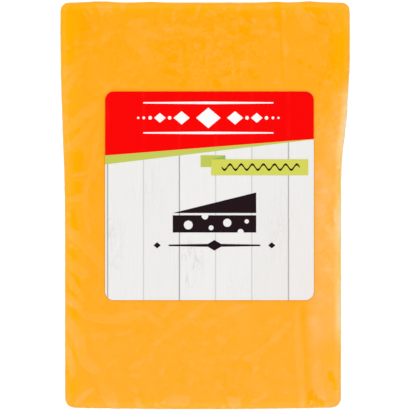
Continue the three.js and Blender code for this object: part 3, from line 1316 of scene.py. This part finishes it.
@dataclass(frozen=True)
class SealFinish(FilmFinish):
    """The film's sealed ends: two layers pressed together, so milkier."""

    name: str = "pressed_seal_film"
    roughness: float = 0.18
    milk: Colour = (1.0, 0.9, 0.74)
    most_milk: float = 0.17
    relief: float = 0.14
    middle: float = 12.4
    pitch: float = 1.7

    def material(self) -> bpy.types.Material:
        """Builds the finish's material.

        Returns:
            The material.
        """
        r = Recipe(self.name)
        along = r.squeezed(1, 1, 0.3)
        turn = r.product(r.maths("SUBTRACT", r.z, self.middle), 2 * math.pi / self.pitch)
        ridge = r.total(r.maths("COSINE", turn), r.spread(r.noise(5, 3, 0.6, 0.4, along), 5))
        crinkle = r.noise(1.4, 3, 0.55, 0.3, along)
        return self.film(r, r.band(ridge, 0.2, 1.3, 0, self.most_milk), crinkle)


@dataclass(frozen=True)
class InkFinish:
    """Semi-gloss ink on paper, a little uneven and faintly worn along the boards' joints."""

    name: str
    ink: Colour
    uneven: float = 0.05
    worn_at: tuple[float, ...] = ()
    worn: Colour = (255, 60, 52)
    roughness: float = 0.26
    specular: float = 0.18
    relief: float = 0.01
    light: float = 1.05

    def material(self) -> bpy.types.Material:
        """Builds the finish's material.

        Returns:
            The material.
        """
        r = Recipe(self.name)
        grain = r.spread(r.noise(0.45, 2), 2 * self.uneven)
        tone = r.total(1.0, grain, r.spread(r.noise(14), self.uneven))
        colour = r.tinted(unlit(self.ink, self.light), tone)
        for x in self.worn_at:
            patchy = r.band(r.noise(6, 3), 0.4, 0.8, 0.02, 0.12)
            share = r.product(r.band(r.away(r.x, x), 0.9, 0.1), patchy)
            colour = r.blend(share, colour, linear(*self.worn))
        return r.paint(colour, self.roughness, self.specular, normal=r.bump(r.noise(0.9, 3), self.relief))


@dataclass(frozen=True)
class BoardsFinish:
    """Paper printed with pale upright boards: thin joints, faint grain and a few smudges."""

    joints: tuple[Pair, ...]
    pitch: float
    name: str = "paper_with_pale_boards"
    board: Colour = (237.5, 236.5, 234)
    warm: Colour = (239, 233.5, 230)
    joint: Colour = (150, 140, 146)
    smudge: Colour = (205, 204, 200)
    joint_width: float = 0.42
    joint_wobble: float = 0.22
    smudged: Zone = Zone((-4.2, -18.2), (4.5, 5), 1)
    most_smudge: float = 0.42
    cracked: tuple[Zone, ...] = (
        Zone((-32.5, -14), (4, 13), 0.16),
        Zone((-4.5, -21), (5, 10), 0.24),
        Zone((12, -28), (5, 8), 0.12),
        Zone((27, -8), (6, 14), 0.12),
        Zone((-19, 4), (5, 12), 0.1),
    )
    roughness: float = 0.4
    specular: float = 0.3
    relief: float = 0.008
    light: float = 1.05

    def material(self) -> bpy.types.Material:
        """Builds the finish's material.

        Returns:
            The material.
        """
        r = Recipe(self.name)
        shades = (self.board, self.warm, self.joint, self.smudge)
        board, warm, joint, smudge = (unlit(shade, self.light) for shade in shades)
        colour = r.blend(r.product(r.band(r.x, 8, 44), r.band(r.y, 18, -30)), board, warm)
        number = r.maths("DIVIDE", r.maths("SUBTRACT", r.x, self.joints[0][0]), self.pitch)
        inputs = {"W": r.maths("FLOOR", number)}
        tone = r.node("ShaderNodeTexWhiteNoise", inputs, noise_dimensions="1D").outputs["Value"]
        grain = r.noise(1.0, 4, 0.65, 0.2, r.squeezed(2.2, 0.09, 1))
        fine = r.noise(1.0, 3, 0.6, 0, r.squeezed(5.5, 0.3, 1))
        streak = r.total(1.0, r.spread(tone, 0.025), r.spread(grain, 0.1), r.spread(fine, 0.05))
        colour = r.blend(self.smudges(r), r.tinted(colour, streak), smudge)
        colour = r.blend(self.cracks(r), colour, joint)
        wobble = r.spread(r.noise(1.0, 3, 0.6, 0, r.squeezed(0.1, 0.35, 1)), self.joint_wobble)
        half = self.joint_width / 2
        for place, share in self.joints:
            off = r.maths("ABSOLUTE", r.total(r.x, -place, wobble))
            colour = r.blend(r.band(off, half + 0.12, half - 0.1, 0, share), colour, joint)
        return r.paint(colour, self.roughness, self.specular, normal=r.bump(r.noise(0.7, 3), self.relief))

    def smudges(self, r: Recipe) -> Socket:
        """Draws the darker, weathered streaks at the lower left and on the third board.

        Args:
            r: The recipe that it goes into.

        Returns:
            Their share.
        """
        ragged = r.noise(2.6, 4, 0.65, 0.6, r.squeezed(1, 0.35, 1))
        left = r.product(r.band(r.x, -28.5, -33), r.band(r.y, 2, -8), r.band(r.y, -33, -22))
        share = r.maths("MAXIMUM", left, self.smudged.rate(r))
        return r.product(share, r.band(ragged, 0.45, 0.8, 0, self.most_smudge))

    def cracks(self, r: Recipe) -> Socket:
        """Draws the hair cracks in the lower halves of some boards.

        Args:
            r: The recipe that it goes into.

        Returns:
            Their share.
        """
        streaks = r.noise(4.0, 4, 0.65, 0.8, r.squeezed(1.5, 0.3, 1))
        hair = r.band(r.away(streaks, 0.5), 0.016, 0.004)
        return r.product(hair, r.total(*(zone.rate(r) for zone in self.cracked)))


@dataclass
class CheeseBlock:
    """The cheese inside its film, drawn back a little at three places of its right side."""

    form: BlockForm
    contact: ContactMap
    finish: CheddarFinish = CheddarFinish()
    under_film: float = 0.14
    rim: Pair = (8, 1.5)
    edge: Pair = (3.2, 1.2)

    def make(self, block: Workpiece) -> None:
        """Models the cheese from the block's form and dresses it.

        Args:
            block: The form, which is copied.
        """
        cheese = block.copy("cheese")
        cheese.push(-self.under_film)
        points = cheese.points()
        cheese.note("lifted", self.contact.depth(points, self.contact.lifts))
        cheese.note("clinging", self.contact.depth(points, self.contact.clings))
        # The rim, edge and slack notes place the cheese's painted film sheen, and the rim note its painted
        # shade.
        cheese.note("rim", self.contact.rim(points, *self.rim))
        cheese.note("edge", self.contact.rim(points, *self.edge))
        cheese.note("near", self.contact.near(points))
        cheese.note("slack", self.contact.slack(points))
        for hollow in self.contact.hollows:
            cheese.push(-hollow.depth, self.contact.drawn_back(points, hollow), "X")
        cheese.hand_over(self.finish.material(), Slot.CHEDDAR, PACK_NODE)


@dataclass
class ShrinkFilm:
    """The film shrunk round the block: low puckers, folded corners and a lap down the front."""

    form: BlockForm
    contact: ContactMap
    finish: FilmFinish = FilmFinish()
    within: float = 0.04
    pucker: float = 0.08
    pucker_edge: Pair = (-0.4, 0.3)
    lap_height: float = 0.06
    tuck_inner: float = 32
    tuck_outer: float = 45.5
    tuck_half: float = 10
    tuck_tip: float = 0.6
    tuck_proud: float = 0.14
    tuck_face: Pair = (70, 71.5)

    def make(self, block: Workpiece) -> None:
        """Shapes the block's form into the film and dresses it.

        Args:
            block: The form, which becomes the film.
        """
        block.push(-self.within)
        points = block.points()
        lifted = self.contact.depth(points, self.contact.lifts)
        for end in (1, -1):
            block.push(self.tuck_proud * end, self.tucks(points, end), "Y")
        block.push(self.pucker, ease(lifted, *self.pucker_edge))
        block.push(self.lap_height, self.lap(points))
        block.note("gap", self.contact.gap(points))
        block.hand_over(self.finish.material(), Slot.CLEAR_FILM, PACK_NODE)

    def tucks(self, points: Points, end: int) -> Weights:
        """Rates how high both folded corners of one end face stand.

        Args:
            points: The points to rate.
            end: 1 for the head, -1 for the foot.

        Returns:
            The shares of a tuck's height.
        """
        x, y, z = np.abs(points[:, 0]), points[:, 1] * end, points[:, 2]
        share = (x - self.tuck_inner) / (self.tuck_outer - self.tuck_inner)
        half = self.tuck_tip + (self.tuck_half - self.tuck_tip) * share
        inside = half - np.abs(z - self.form.thickness / 2)
        across = ease(x, self.tuck_inner - 0.5, self.tuck_inner + 0.5)
        across = across * ease(x, self.tuck_outer + 0.8, self.tuck_outer)
        return across * ease(inside, -0.5, 0.5) * ease(y, *self.tuck_face)

    def lap(self, points: Points) -> Weights:
        """Rates how high the lap stands: a ridge down the front, steep on its right.

        Args:
            points: The points to rate.

        Returns:
            The shares of the lap's height.
        """
        x, y, z = points.T
        start, lean, bow = LAP
        off = x - (start + lean * y + bow * y**3)
        front = ease(z, self.form.thickness - 3, self.form.thickness - 1)
        return ease(off, -4, -0.4) * ease(off, 0.4, -0.4) * front


@dataclass
class EndSeal:
    """The pressed seal along one end face, a flat ribbed band of film."""

    form: BlockForm
    end: int
    finish: SealFinish = SealFinish()
    half: float = 43
    half_height: float = 3.4
    taper: float = 0.55
    taper_reach: float = 5
    cuts_along: int = 85
    cuts_up: int = 34
    proud: float = 0.22
    root: float = 0.5
    ribs: int = 4
    rib_height: float = 0.1

    def make(self) -> None:
        """Models the band and dresses it."""
        at_head = self.end > 0
        line = self.form.head_y if at_head else self.form.foot_y
        middle = self.finish.middle
        thick = self.proud + self.root - self.rib_height
        centre = (0, line + self.end * (thick / 2 - self.root), middle)
        size = (2 * self.half, thick, 2 * self.half_height)
        band = Workpiece.solid("head_seal" if at_head else "foot_seal", size, centre)
        band.split_edges(0, self.cuts_along)
        band.split_edges(2, self.cuts_up)
        x, _, z = band.points().T
        taper = self.taper * ease(self.half - np.abs(x), self.taper_reach, 0)
        taper = taper * np.abs(z - middle) / self.half_height
        for side in (1, -1):
            band.push(-side * self.half_height, np.where((z - middle) * side > 0, taper, 0), "Z")
        x, y, z = band.points().T
        ridge = 0.5 + 0.5 * np.cos((z - middle) / self.half_height * math.pi * self.ribs)
        edge = ease(self.half_height - np.abs(z - middle), 0, 0.4)
        outer = y * self.end > line * self.end
        band.push(self.rib_height * self.end, np.where(outer, ridge * edge, 0), "Y")
        band.push(1, self.form.head_line(x) if at_head else self.form.foot_line(x), "Y")
        band.hand_over(self.finish.material(), Slot.CLEAR_FILM, smooth_below=50)


@dataclass
class PaperLabel:
    """The square paper label on the front, with its printed fields as thin pieces."""

    x: float = 1.6
    y: float = 3.4
    side: float = 75
    radius: float = 3.1
    sink: float = 0.05
    print_step: float = 0.035
    field_drop: Pair = (17.87, 23.81)
    stripe_drop: Pair = (14.7, 23.67)
    joints: tuple[Pair, ...] = (
        (-35, 0.75), (-22.1, 0.32), (-9.2, 0.8), (3.8, 0.32), (16.8, 0.34), (30, 0.72),
    )
    pitch: float = 13
    rim_angle: float = 30
    small_tag: tuple[Pair, Pair] = ((8.9, 4.25), (2.86, 15.85))
    tag_fold: tuple[Pair, Pair] = ((4.8, 1.35), (4.9, 17.2))
    fold_line: tuple[Triple, Triple] = ((2.4, 16.55, 0), (-1.35, 4.8, 0))
    large_tag: tuple[Pair, Pair] = ((34.8, 5.7), (19.68, 13.66))
    wave: tuple[Pair, Pair] = ((28, 0.8), (20, 13.7))
    wave_cuts: int = 111
    wave_height: float = 2
    wave_length: float = 4
    top: float = field(init=False)

    def __post_init__(self) -> None:
        """Takes the paper's upper face from the frame."""
        self.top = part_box(LABEL_NODE)[1].z / MM

    def make(self) -> None:
        """Dresses the paper and models every printed field and motif on it."""
        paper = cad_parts[LABEL_NODE]
        paper.data.materials.clear()
        paper.data.materials.append(BoardsFinish(self.joints, self.pitch).material())
        self.fields()
        self.tags()
        HeaderOrnament(self).make()
        CheeseMotif(self).make()

    def plate(
        self, name: str, size: Sequence[float], centre: Sequence[float], level: int = 0, sides: int = 0
    ) -> Workpiece:
        """Starts a flat printed field.

        Args:
            name: Its name.
            size: Its width and height.
            centre: Its middle.
            level: How many printed layers lie under it.
            sides: How many sides it has, or 0 for an upright rectangle.

        Returns:
            The field's workpiece.
        """
        thick = self.sink + self.print_step * (level + 1)
        middle = (*centre, self.top - self.sink + thick / 2)
        return Workpiece.solid(name, (*size, thick), middle, sides)

    def slope(self, drop: Pair) -> tuple[Triple, Triple]:
        """Gives a point on a slanted line across the label, and the normal on its lower side."""
        rise = (drop[1] - drop[0]) / self.side
        return (self.x - self.side / 2, drop[0], 0), (rise, -1, 0)

    def ink(self, piece: Workpiece, ink: InkFinish, slot: Slot = Slot.PRINT_GREEN) -> None:
        """Dresses a printed piece in its ink and hands it over."""
        piece.hand_over(ink.material(), slot, smooth_below=self.rim_angle)

    def fields(self) -> None:
        """Models the red field and the green stripe below its slanted edge."""
        red = self.plate("red_field", (self.side, self.side), (self.x, self.y))
        a, b = red.edge_ends()
        red.round_edges(self.radius, 10, np.abs(a[:, 2] - b[:, 2]) > 0.05)
        red.cut(*self.slope(self.field_drop), keep_below=True)
        worn = tuple(place for place, _ in self.joints)
        self.ink(red, InkFinish("red_ink", (249.5, 5, 4), 0.02, worn), Slot.PRINT_RED)
        low, high = min(self.stripe_drop) - 1, max(self.field_drop) + 1
        stripe = self.plate("green_stripe", (self.side, high - low), (self.x, (low + high) / 2))
        stripe.cut(*self.slope(self.field_drop), keep_below=False)
        stripe.cut(*self.slope(self.stripe_drop), keep_below=True)
        self.ink(stripe, InkFinish("leaf_green_ink", (197, 204, 90)))

    def tags(self) -> None:
        """Models the two overlapping tags, the fold's shade between them and the wavy rule."""
        small = self.plate("small_tag", *self.small_tag)
        self.ink(small, InkFinish("young_green_ink", (192, 202, 88)))
        shade = self.plate("tag_fold", *self.tag_fold, 1)
        shade.cut(*self.fold_line, keep_below=True)
        self.ink(shade, InkFinish("shaded_green_ink", (150, 186, 92)))
        large = self.plate("large_tag", *self.large_tag, 2)
        self.ink(large, InkFinish("pale_green_ink", (213, 214, 90)))
        wave = self.plate("wavy_rule", *self.wave, 3)
        wave.split_edges(0, self.wave_cuts)
        swing = 0.5 + 0.5 * np.sin(wave.points()[:, 0] * 2 * math.pi / self.wave_length)
        wave.push(self.wave_height, swing, "Y")
        wave.push(-self.wave_height / 2, None, "Y")
        self.ink(wave, InkFinish("brown_black_ink", (40, 30, 22)), Slot.PRINT_DARK)


@dataclass
class HeaderOrnament:
    """White ornament on the red field: a row of lozenges and dots between two pointed rules."""

    label: PaperLabel
    x: float = 1.2
    y: float = 31.4
    rule: Pair = (54, 0.9)
    rule_off: float = 5.4
    lozenges: Rows = ((0, 8.8, 7.4), (9.6, 5.8, 4.8), (17.4, 4.2, 3.5))
    dots: Rows = ((13.9, 1.3), (20.9, 1.3), (23.2, 1), (25.2, 0.8))

    def make(self) -> None:
        """Models the ornament."""
        shapes = [(0, way * self.rule_off, *self.rule, 6) for way in (1, -1)]
        shapes += [(off, 0, width, height, 4) for off, width, height in mirrored(self.lozenges)]
        shapes += [(off, 0, size, size, 24) for off, size in mirrored(self.dots)]
        first, *others = [
            self.label.plate("header_ornament", (width, height), (self.x + across, self.y + up), 1, sides)
            for across, up, width, height, sides in shapes
        ]
        first.take_in(others)
        self.label.ink(first, InkFinish("bare_white", (250, 250, 248), 0.01), Slot.PRINT_WHITE)


@dataclass
class CheeseMotif:
    """Dark motif on the boards: a cut wedge with round eyes over a rule with a lozenge."""

    label: PaperLabel
    x: float = 3.4
    y: float = -3.6
    half: float = 15
    side_height: float = 6.2
    top_rise: float = 7.4
    line: float = 0.8
    eyes: Rows = (
        (-9.4, -0.4, 3.2), (-3.4, 2.8, 2.4), (-1.2, -1.4, 1.8),
        (4.6, 0.4, 3), (9.4, -2.9, 2.2), (11.6, 0.9, 1.6),
    )
    rule_y: float = -14.4
    rule: Pair = (38, 1.1)
    lozenge: Pair = (6.4, 3.8)
    end: Pair = (2.6, 2.2)
    end_off: float = 20.6

    def make(self) -> None:
        """Models the motif."""
        plate = self.label.plate
        side_y = self.y - self.side_height / 2
        side = plate("cheese_motif", (2 * self.half, self.side_height), (self.x, side_y))
        for across, up, size in self.eyes:
            centre = (self.x + across, side_y + up, self.label.top)
            side.carve(Workpiece.solid("eye", (size, size, 2), centre, 28))
        top_y = self.y + self.line + self.top_rise / 2
        top = plate("top", (2 * self.half, self.top_rise), (self.x, top_y))
        corner = (self.x - self.half, self.y + self.line, 0)
        top.cut(corner, (-self.top_rise, 2 * self.half, 0), keep_below=True)
        others = [top, plate("rule", self.rule, (self.x, self.rule_y), 0, 6)]
        others.append(plate("middle", self.lozenge, (self.x, self.rule_y), 1, 4))
        for way in (-1, 1):
            others.append(plate("end", self.end, (self.x + way * self.end_off, self.rule_y), 0, 4))
        side.take_in(others)
        self.label.ink(side, InkFinish("brown_black_print", (35, 22, 27), 0.08), Slot.PRINT_DARK)


@dataclass(frozen=True)
class Softbox:
    """A large soft light that shines at the block."""

    azimuth: float
    radiance: float
    elevation: float = 36
    size: Pair = (350, 400)
    distance: float = 950
    power_per_area: float = 4

    def set_up(self) -> None:
        """Adds the light, hidden from the camera."""
        azimuth, elevation = math.radians(self.azimuth), math.radians(self.elevation)
        level = math.cos(elevation)
        way = Vector((math.sin(azimuth) * level, math.cos(azimuth) * level, math.sin(elevation)))
        turn = (-way).to_track_quat("-Z", "Y").to_euler()
        bpy.ops.object.light_add(type="AREA", location=way * self.distance * MM, rotation=turn)
        lamp = bpy.context.object
        lamp.visible_camera = False
        lamp.data.shape = "RECTANGLE"
        lamp.data.size, lamp.data.size_y = (side * MM for side in self.size)
        lamp.data.energy = self.radiance * self.power_per_area * lamp.data.size * lamp.data.size_y


@dataclass
class Studio:
    """A pale floor, soft light from all sides but straight above, and a camera looking down.

    The softboxes' radiances go round the block by equal turns. Each row of the sky has a height,
    from -1 straight below to 1 straight above, and the glow there.
    """

    frame_width: float = 147.6
    frame_y: float = 0.09
    focus: float = 27.5
    camera_height: float = 1500
    sensor: float = 36
    first_azimuth: float = -22.5
    radiances: tuple[float, ...] = (1.3, 1.05, 1.2, 0.95, 1.2, 1.05, 1.35, 1.25)
    sky: Rows = ((-0.75, 1.1), (-0.5, 0.8), (0.2, 0.8), (0.5, 0.85), (0.83, 1.15), (0.93, 0))
    floor_size: float = 9000
    floor_shade: Colour = (236, 236, 236)
    floor_glow: float = 0.6

    def set_up(self) -> None:
        """Sets up the camera, the lights, the sky and the floor."""
        self.camera()
        for step, radiance in enumerate(self.radiances):
            Softbox(self.first_azimuth + step * 360 / len(self.radiances), radiance).set_up()
        self.surroundings()
        self.floor()
        bpy.context.scene.view_settings.view_transform = "Standard"

    def camera(self) -> None:
        """Adds the camera, with the frame's width at the height of the block's rim."""
        place = (0, self.frame_y * MM, (self.focus + self.camera_height) * MM)
        bpy.ops.object.camera_add(location=place, rotation=(0, 0, 0))
        camera = bpy.context.object
        camera.data.sensor_width = self.sensor
        camera.data.lens = self.sensor * self.camera_height / self.frame_width
        bpy.context.scene.camera = camera

    def surroundings(self) -> None:
        """Lights the sky evenly round the block, brighter high up and dark straight above."""
        world = bpy.data.worlds.new("studio_sky")
        world.use_nodes = True
        sky = Bench(world.node_tree)
        place = sky.node("ShaderNodeTexCoord").outputs["Generated"]
        height = sky.node("ShaderNodeSeparateXYZ", {0: place}).outputs["Z"]
        share = sky.node("ShaderNodeMapRange", {"Value": height, "From Min": -1}).outputs[0]
        brightest = max(glow for _, glow in self.sky)
        stops = [((level + 1) / 2, (glow / brightest,) * 3) for level, glow in self.sky]
        background = sky.tree.nodes["Background"]
        sky.tree.links.new(sky.ramp(share, stops), background.inputs["Color"])
        background.inputs["Strength"].default_value = brightest
        bpy.context.scene.world = world

    def floor(self) -> None:
        """Adds the pale floor, which glows a little so that it stays white round the block."""
        bpy.ops.object.select_all(action="DESELECT")
        bpy.ops.mesh.primitive_plane_add(size=self.floor_size * MM)
        floor = bpy.context.object
        floor.name = "floor"
        floor.visible_diffuse = False
        floor.visible_glossy = False
        white = linear(*self.floor_shade)
        finish = Recipe("pale_floor").paint(
            white, 0.9, 0.1, emission_color=white, emission_strength=self.floor_glow
        )
        floor.data.materials.append(finish)
        floor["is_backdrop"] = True


def write_sizes() -> None:
    """Writes the solids' box and the dressed model's box, in metres."""
    boxes = {"cad": CAD_BOX, "visual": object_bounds()}
    plain = {name: [[round(c, 6) for c in corner] for corner in box] for name, box in boxes.items()}
    log.info("boxes: %s", plain)


def main() -> None:
    """Builds the block piece by piece, then the studio round it."""
    logging.basicConfig(level=logging.INFO, format="%(name)s: %(message)s")
    form = BlockForm()
    contact = ContactMap(form)
    block = form.model("film")
    CheeseBlock(form, contact).make(block)
    ShrinkFilm(form, contact).make(block)
    for end in (1, -1):
        EndSeal(form, end).make()
    PaperLabel().make()
    Studio().set_up()
    write_sizes()


if __name__ == "__main__":
    main()
